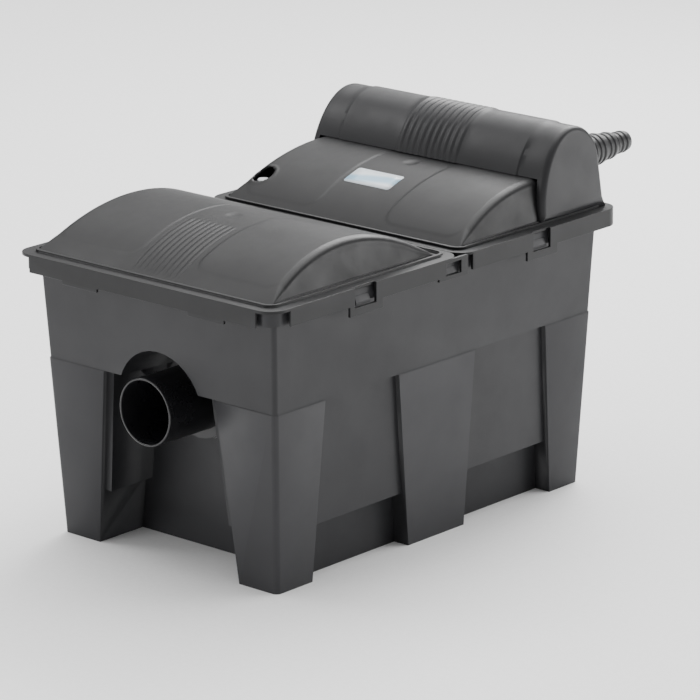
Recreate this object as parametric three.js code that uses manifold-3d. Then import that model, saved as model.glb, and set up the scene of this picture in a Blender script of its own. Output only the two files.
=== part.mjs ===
// Gravity-fed pond filter: a tapered tub with legs, two lift-off domed lids and an
// arched hood over an ultraviolet clarifier. Millimetres, +Z up, outlet towards -Y,
// hose connection towards +Y. The origin is the centre of the footprint, on the floor.
import * as THREE from 'three';
import { mergeVertices } from 'three/addons/utils/BufferGeometryUtils.js';
import Module from 'manifold-3d';

const wasm = await Module();
wasm.setup();

// ---------------------------------------------------------------- driving dimensions
const WALL = 3;
const GAP = 0.3;

const BASE_HALF_WIDTH = 158.5;
const BASE_HALF_LENGTH = 250.4;
const WIDTH_DRAFT = 0.0482;
const LENGTH_DRAFT = 0.049;
const BODY_CORNER = 6;
const BODY_HEIGHT = 316;
const BAND_HEIGHT = 201;
const STEP_HEIGHT = 61;
const BAND_SETBACK = 1.2;
const PANEL_DEPTH = 6;
const UNDERCUT_DEPTH = 20.5;

const LID_HALF_WIDTH = 189;
const LID_HALF_LENGTH = 285.5;
const LID_CORNER = 21;
const SKIRT_BOTTOM = 300.5;
const FLANGE_TOP = 320.4;
const FLANGE_THICKNESS = 3;
const BEAD_INSET = 13;
const BEAD_WIDTH = 3.4;
const BEAD_HEIGHT = 2.8;
const SEAM_Y = 14;
const CORNER_NOTCH_X = 166;
const CORNER_NOTCH_Y = 257;
const REAR_SKIRT_START_Y = 31.6;
const LATCH_TONGUE_END_Y = 23.5;

const RIM_HALF_WIDTH = 182.5;
const RIM_HALF_LENGTH = 279;
const RIM_LIP_BOTTOM = 301.5;
const RIM_LIP_THICKNESS = 2.5;

const DOME_HALF_WIDTH_FOOT = 171.5;
const DOME_HALF_WIDTH_TOP = 160;
const FRONT_DOME = { start: -267, end: -9, top: 363.3 };
const REAR_DOME = { start: 29, crest: 168, end: 186, top: 367 };
const HOOD_CLEARANCE = 0.5;
// The hood's front is a quarter ellipse from its foot to its crest; its back is a smaller one on a wall.
const HOOD = {
  crestY: 228, top: 420.5, footFront: 164, footRear: 277,
  shoulderY: 272, shoulderZ: 374, halfWidthFoot: 175.3, halfWidthTop: 168,
};

const OUTLET = { z: 176, radius: 37.5, bore: 35, mouthY: -282 };
const ALCOVE_BACK_Y = -184;
const ARCH_RADIUS_FRONT = 61;
const ARCH_RADIUS_BACK = 55;
const ALCOVE_HALF_WIDTH_FLOOR = 104;
const ALCOVE_HALF_WIDTH_BAND = 82;
const ALCOVE_STRIP = 10;

const UV = { y: 226, z: 374, radius: 34, start: -93, end: 160 };
const HOSE = { x: 138, z: 374 };
const DRAIN = { z: 31, boreRadius: 13 };

// Leg edges along each long side, as [distance along Y at the band, and at the floor].
const SIDE_RECESSES = [
  [[-182.5, -195.2], [-65.8, -41]],
  [[59.3, 51.2], [179.5, 200]],
];

// ---------------------------------------------------------------- finishes
const finish = (color, roughness, metalness = 0) => ({ color, roughness, metalness });
const CHARCOAL = finish(0x46464a, 0.55);
const LID_PLASTIC = finish(0x4b4b4e, 0.5);
const HOOD_PLASTIC = finish(0x3f3f43, 0.45);
const BLACK_PIPE = finish(0x161618, 0.4);
const BLACK_PLASTIC = finish(0x202023, 0.5);
const SEAL_RUBBER = finish(0x111112, 0.85);
const GREY_GRID = finish(0x6a6d70, 0.6);
const BLUE_FOAM = finish(0x2a6fb0, 0.95);
const RED_FOAM = finish(0xb23a34, 0.95);
const RED_GRIP = finish(0xb02a22, 0.45);
const QUARTZ = finish(0xdfeaf0, 0.08);
const LAMP_GLASS = finish(0xf2f5f7, 0.15);
const WHITE_PLASTIC = finish(0xe9ebec, 0.45);
const STEEL = finish(0xb4b7ba, 0.3, 0.9);

// ---------------------------------------------------------------- solids and booleans
function toSolid(geometry) {
  const bare = geometry.clone();
  bare.deleteAttribute('normal');
  bare.deleteAttribute('uv');
  const merged = mergeVertices(bare, 1e-4);
  const corners = merged.index.array;
  const kept = [];
  for (let i = 0; i < corners.length; i += 3) {
    const [a, b, c] = [corners[i], corners[i + 1], corners[i + 2]];
    if (a !== b && b !== c && c !== a) kept.push(a, b, c);
  }
  const triVerts = new Uint32Array(kept);
  const vertProperties = merged.attributes.position.array;
  return new wasm.Manifold(new wasm.Mesh({ numProp: 3, vertProperties, triVerts }));
}

function toGeometry(solid) {
  const mesh = solid.getMesh();
  const geometry = new THREE.BufferGeometry();
  geometry.setAttribute('position', new THREE.BufferAttribute(new Float32Array(mesh.vertProperties), 3));
  geometry.setIndex(new THREE.BufferAttribute(new Uint32Array(mesh.triVerts), 1));
  geometry.computeVertexNormals();
  return geometry;
}

const join = (first, ...others) => others.reduce((sum, other) => sum.add(other), first);
const cut = (first, ...others) => others.reduce((left, other) => left.subtract(other), first);

const X_AXIS = new THREE.Vector3(1, 0, 0);
const Y_AXIS = new THREE.Vector3(0, 1, 0);
const Z_AXIS = new THREE.Vector3(0, 0, 1);
const ALONG_X = new THREE.Matrix4().makeBasis(Y_AXIS, Z_AXIS, X_AXIS);
const ALONG_MINUS_Y = new THREE.Matrix4().makeBasis(X_AXIS, Z_AXIS, Y_AXIS.clone().negate());

function outline(points) {
  return new THREE.Shape(points.map(([u, v]) => new THREE.Vector2(u, v)));
}

function extrude(shape, depth, curveSegments = 5) {
  return new THREE.ExtrudeGeometry(shape, { depth, bevelEnabled: false, curveSegments });
}

function block(x0, x1, y0, y1, z0, z1) {
  const geometry = new THREE.BoxGeometry(x1 - x0, y1 - y0, z1 - z0);
  geometry.translate((x0 + x1) / 2, (y0 + y1) / 2, (z0 + z1) / 2);
  return toSolid(geometry);
}

// A prism whose (y, z) outline runs from x0 to x1.
function prismAlongX(points, x0, x1) {
  const geometry = extrude(outline(points), x1 - x0);
  geometry.applyMatrix4(ALONG_X);
  geometry.translate(x0, 0, 0);
  return toSolid(geometry);
}

// A prism whose (x, z) outline runs from y0 to y1.
function prismAlongY(points, y0, y1) {
  const geometry = extrude(outline(points), y1 - y0);
  geometry.applyMatrix4(ALONG_MINUS_Y);
  geometry.translate(0, y1, 0);
  return toSolid(geometry);
}

// A turned piece: profile of [radius, distance along the axis], from the given centre.
function turned(profile, axis, centre = [0, 0, 0], segments = 24) {
  const geometry = new THREE.LatheGeometry(profile.map(([r, d]) => new THREE.Vector2(r, d)), segments);
  if (axis === 'x') geometry.rotateZ(-Math.PI / 2);
  if (axis === 'z') geometry.rotateX(Math.PI / 2);
  geometry.translate(...centre);
  return toSolid(geometry);
}

const ring = (inner, outer, from, to) => [
  [inner, from], [outer, from], [outer, to], [inner, to], [inner, from],
];
const rod = (radius, from, to) => [[0, from], [radius, from], [radius, to], [0, to]];

function roundedRectangle(x0, x1, y0, y1, radius) {
  const shape = new THREE.Shape();
  shape.moveTo(x0 + radius, y0);
  shape.lineTo(x1 - radius, y0);
  shape.absarc(x1 - radius, y0 + radius, radius, -Math.PI / 2, 0, false);
  shape.lineTo(x1, y1 - radius);
  shape.absarc(x1 - radius, y1 - radius, radius, 0, Math.PI / 2, false);
  shape.lineTo(x0 + radius, y1);
  shape.absarc(x0 + radius, y1 - radius, radius, Math.PI / 2, Math.PI, false);
  shape.lineTo(x0, y0 + radius);
  shape.absarc(x0 + radius, y0 + radius, radius, Math.PI, 1.5 * Math.PI, false);
  return shape;
}

function roundedPlate(x0, x1, y0, y1, radius, z0, z1) {
  const geometry = extrude(roundedRectangle(x0, x1, y0, y1, radius), z1 - z0);
  geometry.translate(0, 0, z0);
  return toSolid(geometry);
}

function roundedFrame(halfWidth, y0, y1, radius, thickness, z0, z1) {
  const outer = roundedPlate(-halfWidth, halfWidth, y0, y1, radius, z0, z1);
  const inner = roundedPlate(
    -halfWidth + thickness, halfWidth - thickness, y0 + thickness, y1 - thickness,
    Math.max(radius - thickness, 1), z0 - 1, z1 + 1);
  return cut(outer, inner);
}

// ---------------------------------------------------------------- scene graph
const group = new THREE.Group();

function addPiece(name, solid, look) {
  const material = new THREE.MeshStandardMaterial(look);
  const mesh = new THREE.Mesh(toGeometry(solid), material);
  mesh.name = name;
  group.add(mesh);
}

// ---------------------------------------------------------------- tub
const halfWidthAt = (z) => BASE_HALF_WIDTH + WIDTH_DRAFT * z;
const halfLengthAt = (z) => BASE_HALF_LENGTH + LENGTH_DRAFT * z;

// The drafted body shape, pulled in by `inset` on all four sides.
function draftedBlock(inset, z0, z1) {
  const w = BASE_HALF_WIDTH - inset;
  const l = BASE_HALF_LENGTH - inset;
  const geometry = extrude(roundedRectangle(-w, w, -l, l, Math.max(BODY_CORNER - inset, 2)), z1 - z0, 4);
  const position = geometry.attributes.position;
  for (let i = 0; i < position.count; i += 1) {
    const z = position.getZ(i) + z0;
    position.setXYZ(
      i,
      position.getX(i) * (1 + (WIDTH_DRAFT * z) / w),
      position.getY(i) * (1 + (LENGTH_DRAFT * z) / l),
      z);
  }
  return toSolid(geometry);
}

const LARGE = 400;

// Edges are [at the band, at the floor]; the outline is carried on to `top` and below the floor.
function legGap(edgeA, edgeB, top, grow) {
  const at = ([band, floor], z) => floor + ((band - floor) * z) / BAND_HEIGHT;
  return [
    [at(edgeA, -5) - grow, -5],
    [at(edgeB, -5) + grow, -5],
    [at(edgeB, top) + grow, top + grow],
    [at(edgeA, top) - grow, top + grow],
  ];
}

function sideRecesses(grow) {
  const panelCore = draftedBlock(PANEL_DEPTH + grow, -10, 330);
  const undercutCore = draftedBlock(UNDERCUT_DEPTH + grow, -10, 330);
  const pieces = [];
  for (const [front, rear] of SIDE_RECESSES) {
    for (const [x0, x1] of [[100, LARGE], [-LARGE, -100]]) {
      pieces.push(cut(prismAlongX(legGap(front, rear, BAND_HEIGHT, grow), x0, x1), panelCore));
      pieces.push(cut(prismAlongX(legGap(front, rear, STEP_HEIGHT, grow), x0, x1), undercutCore));
    }
  }
  const rearEdges = [[-ALCOVE_HALF_WIDTH_BAND, -ALCOVE_HALF_WIDTH_FLOOR],
    [ALCOVE_HALF_WIDTH_BAND, ALCOVE_HALF_WIDTH_FLOOR]];
  pieces.push(cut(prismAlongY(legGap(...rearEdges, BAND_HEIGHT, grow), 200, LARGE), panelCore));
  pieces.push(cut(prismAlongY(legGap(...rearEdges, STEP_HEIGHT, grow), 200, LARGE), undercutCore));
  return pieces;
}

// The deep bay in the front wall that holds the outlet, with its arch over the pipe.
function outletAlcove(grow) {
  const wide = [[-ALCOVE_HALF_WIDTH_BAND, -ALCOVE_HALF_WIDTH_FLOOR],
    [ALCOVE_HALF_WIDTH_BAND, ALCOVE_HALF_WIDTH_FLOOR]];
  const narrow = wide.map((edge) => edge.map((x) => x - Math.sign(x) * ALCOVE_STRIP));
  const back = ALCOVE_BACK_Y + grow;
  const stripCore = draftedBlock(PANEL_DEPTH + grow, -10, 330);
  const cone = new THREE.CylinderGeometry(
    ARCH_RADIUS_BACK + grow, ARCH_RADIUS_FRONT + grow + 4, back + 290, 36, 1);
  cone.translate(0, (back - 290) / 2, OUTLET.z);
  const ceiling = block(-LARGE, LARGE, -LARGE, 0, 130, LARGE);
  return [
    cut(prismAlongY(legGap(...wide, BAND_HEIGHT, grow), -LARGE, -150), stripCore),
    prismAlongY(legGap(...wide, STEP_HEIGHT, grow), -LARGE, back),
    prismAlongY(legGap(...narrow, BAND_HEIGHT, grow), -LARGE, back),
    toSolid(cone).intersect(ceiling),
  ];
}

const LATCH_CENTRES = [-141.5, 0, 147.6];

// A wedge on the rim that a lid's latch window closes over.
function latchNub(centreY, side) {
  const points = [
    [side * (RIM_HALF_WIDTH - 1), 299.5],
    [side * (RIM_HALF_WIDTH + 2.9), 299.5],
    [side * (RIM_HALF_WIDTH + 2.9), 302.5],
    [side * (RIM_HALF_WIDTH + 0.4), 309],
    [side * (RIM_HALF_WIDTH - 1), 309],
  ];
  return prismAlongY(side > 0 ? points : points.reverse(), centreY - 11, centreY + 11);
}

function makeTub() {
  const cavity = cut(draftedBlock(WALL, WALL, 330), ...sideRecesses(WALL), ...outletAlcove(WALL));
  const rimPlate = roundedPlate(
    -RIM_HALF_WIDTH, RIM_HALF_WIDTH, -RIM_HALF_LENGTH, RIM_HALF_LENGTH, 15, BODY_HEIGHT - 3, BODY_HEIGHT);
  const rimLip = roundedFrame(
    RIM_HALF_WIDTH, -RIM_HALF_LENGTH, RIM_HALF_LENGTH, 15, RIM_LIP_THICKNESS, RIM_LIP_BOTTOM, BODY_HEIGHT);
  const nubs = LATCH_CENTRES.flatMap((y) => [latchNub(y, 1), latchNub(y, -1)]);
  const gusset = (side) => prismAlongX(
    [[ALCOVE_BACK_Y - 42, 202], [ALCOVE_BACK_Y + 1, 202], [ALCOVE_BACK_Y + 1, 150]],
    side * 63 - 1.5, side * 63 + 1.5);
  // The legs stand slightly proud of the wall above the band, with a sloping ledge between.
  const ledgeFoot = BAND_HEIGHT - BAND_SETBACK;
  const ledge = wasm.Manifold.hull([
    draftedBlock(0, ledgeFoot - 0.1, ledgeFoot),
    draftedBlock(BAND_SETBACK, BAND_HEIGHT - 0.1, BAND_HEIGHT),
  ]);
  const outside = join(
    draftedBlock(0, 0, ledgeFoot),
    ledge,
    draftedBlock(BAND_SETBACK, BAND_HEIGHT - 2, BODY_HEIGHT));
  const shell = cut(outside, ...sideRecesses(0), ...outletAlcove(0));
  const body = join(shell, rimPlate, rimLip, ...nubs, gusset(1), gusset(-1));
  const outletHole = turned(rod(OUTLET.radius + GAP, -200, -160), 'y', [0, 0, OUTLET.z], 28);
  const drainHole = turned(rod(DRAIN.boreRadius + 3 + GAP, 200, 260), 'y', [0, 0, DRAIN.z], 24);
  return cut(body, cavity, outletHole, drainHole);
}

// ---------------------------------------------------------------- lids
// A window and a hanging tongue in the skirt, where the lid snaps over the rim.
function latchTongue(side, y0, y1, bottom) {
  const x0 = side > 0 ? LID_HALF_WIDTH - WALL : -LID_HALF_WIDTH;
  return block(x0, x0 + WALL, y0, y1, bottom, SKIRT_BOTTOM + 2);
}

function latchWindow(side, y0, y1, bottom, top) {
  const x0 = side > 0 ? LID_HALF_WIDTH - WALL - 1 : -LID_HALF_WIDTH - 1;
  return block(x0, x0 + WALL + 2, y0, y1, bottom, top);
}

// Flange, skirt and raised bead over one part of the length; y0 and y1 are its outer edges.
function lidFrame(y0, y1) {
  const flangeBottom = FLANGE_TOP - FLANGE_THICKNESS;
  const plate = roundedPlate(
    -LID_HALF_WIDTH, LID_HALF_WIDTH, y0, y1, LID_CORNER, flangeBottom, FLANGE_TOP);
  const skirt = roundedFrame(
    LID_HALF_WIDTH, y0, y1, LID_CORNER, WALL, SKIRT_BOTTOM, flangeBottom + 1);
  return join(plate, skirt);
}

function lidBead(y0, y1) {
  return roundedFrame(
    LID_HALF_WIDTH - BEAD_INSET, y0 + BEAD_INSET, y1 - BEAD_INSET, LID_CORNER - 8, BEAD_WIDTH,
    FLANGE_TOP - 1, FLANGE_TOP + BEAD_HEIGHT);
}

// An arc in the (y, z) plane from angle a to angle b, as points.
function arcPoints(cy, cz, radius, a, b, steps) {
  const points = [];
  for (let i = 0; i <= steps; i += 1) {
    const angle = a + ((b - a) * i) / steps;
    points.push([cy + radius * Math.cos(angle), cz + radius * Math.sin(angle)]);
  }
  return points;
}

// The dome's end walls lean in: an (x, z) outline that both ends are trimmed to.
function leaningEnds(inset, top, y0, y1) {
  const foot = DOME_HALF_WIDTH_FOOT - inset;
  const head = DOME_HALF_WIDTH_TOP - inset;
  const base = FLANGE_TOP - FLANGE_THICKNESS - 1;
  return prismAlongY([[-foot, base], [foot, base], [head, top + 1], [-head, top + 1]], y0, y1);
}

function archRadius(halfSpan, rise) {
  return (halfSpan * halfSpan + rise * rise) / (2 * rise);
}

function frontDome(inset) {
  const centreY = (FRONT_DOME.start + FRONT_DOME.end) / 2;
  const halfSpan = (FRONT_DOME.end - FRONT_DOME.start) / 2;
  const radius = archRadius(halfSpan, FRONT_DOME.top - FLANGE_TOP) - inset;
  const centreZ = FRONT_DOME.top - inset - radius;
  const base = FLANGE_TOP - FLANGE_THICKNESS - (inset ? 5 : 0);
  const reach = Math.asin((base - centreZ) / radius);
  const points = arcPoints(centreY, centreZ, radius, reach, Math.PI - reach, 20);
  return prismAlongX(points, -200, 200).intersect(leaningEnds(inset, FRONT_DOME.top, -290, 20));
}

// The rear dome carries on a little way under the hood, whose front wall stands on it.
function rearDome(inset) {
  const halfSpan = REAR_DOME.crest - REAR_DOME.start;
  const radius = archRadius(halfSpan, REAR_DOME.top - FLANGE_TOP) - inset;
  const centreZ = REAR_DOME.top - inset - radius;
  const base = FLANGE_TOP - FLANGE_THICKNESS - (inset > 0 ? 5 : 0);
  const reach = Math.PI - Math.asin((base - centreZ) / radius);
  const end = REAR_DOME.end + (inset > 0 ? 5 : 0);
  const overEnd = Math.acos((end - REAR_DOME.crest) / radius);
  const points = [[end, base], ...arcPoints(REAR_DOME.crest, centreZ, radius, overEnd, reach, 14)];
  return prismAlongX(points, -200, 200).intersect(leaningEnds(inset, REAR_DOME.top - inset, 0, 200));
}

function makeFrontLid() {
  const [y0, y1] = [-LID_HALF_LENGTH, SEAM_Y - GAP];
  const frame = lidFrame(y0, y1);
  const backSkirt = block(
    -200, 200, y1 - WALL - 1, y1 + 1, SKIRT_BOTTOM - 1, FLANGE_TOP - FLANGE_THICKNESS);
  const sideTrim = block(-200, 200, -22, 60, SKIRT_BOTTOM - 1, FLANGE_TOP - FLANGE_THICKNESS);
  const cornerNotch = (side) => cut(
    block(
      Math.min(side * CORNER_NOTCH_X, side * 200), Math.max(side * CORNER_NOTCH_X, side * 200),
      -300, -CORNER_NOTCH_Y, SKIRT_BOTTOM - 1, FLANGE_TOP - FLANGE_THICKNESS - GAP));
  const seal = 1;
  const tongues = [];
  const windows = [];
  for (const side of [1, -1]) {
    const x0 = side > 0 ? LID_HALF_WIDTH - WALL : -LID_HALF_WIDTH;
    tongues.push(latchTongue(side, -166, -114, 290));
    tongues.push(block(x0, x0 + WALL, -24, LATCH_TONGUE_END_Y, 297.5, FLANGE_TOP - seal));
    windows.push(latchWindow(side, -158, -125, 298.8, 330));
    windows.push(latchWindow(side, -12, 12, 302, 315.5));
  }
  const frontTabs = [-90, 95].map((x) => block(
    x - 26, x + 26, -LID_HALF_LENGTH, -LID_HALF_LENGTH + WALL, 296.5, SKIRT_BOTTOM + 2));
  const shell = cut(
    join(cut(frame, backSkirt, sideTrim, cornerNotch(1), cornerNotch(-1)), ...tongues, ...frontTabs),
    ...windows);
  return cut(join(shell, lidBead(y0, y1 + 4), frontDome(0)), frontDome(WALL));
}

const INDICATOR = { x: -150, y: 67, hole: 12.4 };

function makeRearLid() {
  const [y0, y1] = [SEAM_Y, LID_HALF_LENGTH];
  const frame = lidFrame(y0, y1);
  const flangeBottom = FLANGE_TOP - FLANGE_THICKNESS;
  const frontTrim = block(-200, 200, 0, REAR_SKIRT_START_Y, SKIRT_BOTTOM - 1, flangeBottom);
  const hoodOpening = block(-165, 165, REAR_DOME.crest - 4, 268, 300, 330);
  const hoseNotch = block(HOSE.x - 29, HOSE.x + 25, 250, 300, 290, 340);
  const tongues = [1, -1].map((side) => latchTongue(side, 123, 174, 290));
  const windows = [1, -1].map((side) => latchWindow(side, 133, 162, 298.8, 330));
  const shell = cut(join(cut(frame, frontTrim), ...tongues), ...windows);
  const indicatorHole = turned(rod(INDICATOR.hole, 300, 400), 'z', [INDICATOR.x, INDICATOR.y, 0], 24);
  const solid = join(shell, lidBead(y0 - 4, y1), rearDome(0));
  return cut(solid, rearDome(WALL), hoodOpening, hoseNotch, indicatorHole);
}

function hoodProfile(inset) {
  const foot = FLANGE_TOP + (inset ? -5 : GAP);
  const points = [[HOOD.footFront + inset, foot], [HOOD.footRear - inset, foot]];
  const quarter = (reachY, centreZ, from, steps) => {
    for (let i = 0; i <= steps; i += 1) {
      const angle = from + ((Math.PI / 2) * i) / steps;
      points.push([
        HOOD.crestY + (reachY - inset) * Math.cos(angle),
        centreZ + (HOOD.top - inset - centreZ) * Math.sin(angle),
      ]);
    }
  };
  quarter(HOOD.shoulderY - HOOD.crestY, HOOD.shoulderZ, 0, 8);
  points.pop();
  quarter(HOOD.crestY - HOOD.footFront, FLANGE_TOP + GAP, Math.PI / 2, 12);
  points.pop();
  return points;
}

function makeHood() {
  const leaning = (inset) => prismAlongY([
    [-HOOD.halfWidthFoot + inset, FLANGE_TOP - 8], [HOOD.halfWidthFoot - inset, FLANGE_TOP - 8],
    [HOOD.halfWidthTop - inset, HOOD.top + 5], [-HOOD.halfWidthTop + inset, HOOD.top + 5],
  ], 150, 290);
  const outer = prismAlongX(hoodProfile(0), -200, 200).intersect(leaning(0));
  const inner = prismAlongX(hoodProfile(WALL), -200, 200).intersect(leaning(WALL));
  const hoseSlot = join(
    block(HOSE.x - 27, HOSE.x + 23, 240, 300, 300, HOSE.z),
    turned(rod(25, 240, 300), 'y', [HOSE.x - 2, 0, HOSE.z], 24));
  const solid = cut(outer, inner, hoseSlot, rearDome(-HOOD_CLEARANCE));
  const footRelief = roundedFrame(
    LID_HALF_WIDTH - BEAD_INSET + GAP, SEAM_Y - 4 + BEAD_INSET - GAP, LID_HALF_LENGTH - BEAD_INSET + GAP,
    LID_CORNER - 8, BEAD_WIDTH + 2 * GAP, FLANGE_TOP - 2, FLANGE_TOP + BEAD_HEIGHT + GAP);
  return cut(solid, footRelief);
}

// ---------------------------------------------------------------- outlet and drain
function makeOutletPipe() {
  const wallInside = ALCOVE_BACK_Y + WALL;
  return turned([
    [OUTLET.bore, OUTLET.mouthY], [OUTLET.radius, OUTLET.mouthY],
    [OUTLET.radius, wallInside + 2], [OUTLET.radius + 9, wallInside + 2],
    [OUTLET.radius + 9, wallInside + 6], [OUTLET.radius, wallInside + 6],
    [OUTLET.radius, wallInside + 18], [OUTLET.bore, wallInside + 18],
    [OUTLET.bore, OUTLET.mouthY],
  ], 'y', [0, 0, OUTLET.z], 28);
}

function makeOutletNut() {
  const nut = turned(
    ring(OUTLET.radius + GAP, OUTLET.radius + 10, ALCOVE_BACK_Y - 16, ALCOVE_BACK_Y - GAP),
    'y', [0, 0, OUTLET.z], 28);
  const lugs = [];
  for (let i = 0; i < 6; i += 1) {
    const lug = new THREE.BoxGeometry(7, 14, 6);
    lug.translate(0, 0, OUTLET.radius + 8.5);
    lug.rotateY((i * Math.PI) / 3 + Math.PI / 6);
    lug.translate(0, ALCOVE_BACK_Y - 8, OUTLET.z);
    lugs.push(toSolid(lug));
  }
  return join(nut, ...lugs);
}

// Slotted cage over the inner end of the outlet, which keeps the media out of the pipe.
function makeOutletStrainer() {
  const start = ALCOVE_BACK_Y + WALL + 6 + GAP;
  const cage = turned([
    [OUTLET.radius + GAP, start], [OUTLET.radius + 4, start],
    [OUTLET.radius + 4, start + 46], [0, start + 46], [0, start + 43],
    [OUTLET.radius + 1, start + 43], [OUTLET.radius + 1, start + 14],
    [OUTLET.radius + GAP, start + 14], [OUTLET.radius + GAP, start],
  ], 'y', [0, 0, OUTLET.z], 28);
  const slots = [];
  for (let i = 0; i < 8; i += 1) {
    const slot = new THREE.BoxGeometry(9, 22, 20);
    slot.translate(0, start + 28, OUTLET.radius);
    slot.rotateY(((i + 0.5) * Math.PI) / 4);
    slot.translate(0, 0, OUTLET.z);
    slots.push(toSolid(slot));
  }
  return cut(cage, ...slots);
}

const rearWallAt = (z) => halfLengthAt(z) - UNDERCUT_DEPTH;

function makeDrain() {
  const wallY = rearWallAt(DRAIN.z);
  const centre = [0, 0, DRAIN.z];
  const bore = DRAIN.boreRadius;
  addPiece('drain_gasket', turned(
    ring(bore + 3 + GAP, bore + 8, wallY + 1.4, wallY + 3), 'y', centre, 24), SEAL_RUBBER);
  addPiece('drain_socket', turned([
    [bore, wallY - 14], [bore + 3, wallY - 14], [bore + 3, wallY + 3.3], [bore + 8, wallY + 3.3],
    [bore + 8, wallY + 6], [bore + 3, wallY + 6], [bore + 3, wallY + 13], [bore, wallY + 13],
    [bore, wallY - 14],
  ], 'y', centre, 24), BLACK_PLASTIC);
  addPiece('drain_nut', turned(
    ring(bore + 3 + GAP, bore + 9, wallY - 10, wallY - WALL - 1.6), 'y', centre, 24), BLACK_PLASTIC);
  addPiece('drain_cap_seal', turned(
    ring(bore - 3, bore + 2.6, wallY + 13.3, wallY + 14.6), 'y', centre, 24), SEAL_RUBBER);
  const cup = turned([
    [bore + 3 + GAP, wallY + 7], [bore + 6, wallY + 7], [bore + 6, wallY + 17.5], [0, wallY + 17.5],
    [0, wallY + 14.9], [bore + 3 + GAP, wallY + 14.9], [bore + 3 + GAP, wallY + 7],
  ], 'y', centre, 24);
  const grip = block(-12, 12, wallY + 16, wallY + 22, DRAIN.z - 2.5, DRAIN.z + 2.5);
  addPiece('drain_cap', join(cup, grip), BLACK_PLASTIC);
}

// ---------------------------------------------------------------- filter media
const FOAM = { inner: 9, outer: 146, front: -124, back: -8, holeRadius: 15 };
const GRID_Z = 64.6;

function grid(x0, x1, y0, y1, z0, z1, columns, rows) {
  const border = 8;
  const bar = 6;
  const pitchX = (x1 - x0 - 2 * border + bar) / columns;
  const pitchY = (y1 - y0 - 2 * border + bar) / rows;
  const holes = [];
  for (let i = 0; i < columns; i += 1) {
    for (let j = 0; j < rows; j += 1) {
      const x = x0 + border + i * pitchX;
      const y = y0 + border + j * pitchY;
      holes.push(block(x, x + pitchX - bar, y, y + pitchY - bar, z0 - 1, z1 + 1));
    }
  }
  return cut(block(x0, x1, y0, y1, z0, z1), ...holes);
}

function makeFoamTower(side, label) {
  const x0 = side > 0 ? FOAM.inner : -FOAM.outer;
  const x1 = side > 0 ? FOAM.outer : -FOAM.inner;
  const [centreX, centreY] = [(x0 + x1) / 2, (FOAM.front + FOAM.back) / 2];
  const centre = [centreX, centreY, 0];
  const stem = turned([
    [8, 70], [11, 70], [11, 271], [17, 271], [17, 276], [8, 276], [8, 70],
  ], 'z', centre, 16);
  const plate = grid(x0 + 4, x1 - 4, FOAM.front + 4, FOAM.back - 4, 69, 73, 3, 4);
  const hub = turned(ring(8, 16, 69, 74), 'z', centre, 16);
  const lugs = [-1, 1].map((end) => block(
    centreX - 3, centreX + 3, centreY + end * 14 - 2.5, centreY + end * 14 + 2.5, 274, 286));
  const pinHoles = turned(rod(2.3, -30, 30), 'y', [centreX, centreY, 281], 12);
  const pins = cut(join(stem, plate, hub, ...lugs), pinHoles);
  addPiece(`foam_holder_${label}`, pins, GREY_GRID);

  const layers = [['blue', 75, 168, BLUE_FOAM], ['red', 169, 262, RED_FOAM]];
  for (const [colour, z0, z1, look] of layers) {
    const pad = roundedPlate(x0, x1, FOAM.front, FOAM.back, 8, z0, z1);
    const hole = turned(rod(FOAM.holeRadius, z0 - 1, z1 + 1), 'z', centre, 16);
    addPiece(`${colour}_foam_${label}`, cut(pad, hole), look);
  }

  const reach = 50;
  const bail = join(
    block(centreX - 3, centreX + 3, centreY - 22, centreY - 17, 278, 284),
    block(centreX - 3, centreX + 3, centreY + 17, centreY + 22, 278, 284),
    block(centreX, centreX + reach, centreY - 22, centreY - 17, 278.5, 283.5),
    block(centreX, centreX + reach, centreY + 17, centreY + 22, 278.5, 283.5),
    block(centreX + reach - 6, centreX + reach, centreY - 22, centreY + 22, 278.5, 283.5),
    turned(rod(2, -21, -11), 'y', [centreX, centreY, 281], 12),
    turned(rod(2, 11, 21), 'y', [centreX, centreY, 281], 12));
  addPiece(`bail_${label}`, bail, RED_GRIP);
}

function makeSeparator() {
  const z0 = 69;
  const z1 = 311;
  const y0 = 3;
  const sideAt = (z) => halfWidthAt(z) - WALL - 1.2;
  const plate = prismAlongY(
    [[-sideAt(z0), z0], [sideAt(z0), z0], [sideAt(z1), z1], [-sideAt(z1), z1]], y0, y0 + 4);
  const slots = [];
  for (let i = -5; i <= 5; i += 1) {
    for (const z of [86, 126]) slots.push(block(i * 25 - 8, i * 25 + 8, y0 - 1, y0 + 5, z, z + 28));
  }
  return cut(plate, ...slots);
}

function makeMediaTray() {
  const outer = block(-140, 140, 22, 222, 70, 190);
  const inner = block(-137.5, 137.5, 24.5, 219.5, 73, 191);
  const floorSlots = [];
  for (let i = 0; i < 9; i += 1) {
    floorSlots.push(block(-128 + i * 29, -128 + i * 29 + 14, 34, 116, 60, 75));
    floorSlots.push(block(-128 + i * 29, -128 + i * 29 + 14, 126, 210, 60, 75));
  }
  return cut(outer, inner, ...floorSlots);
}

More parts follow.
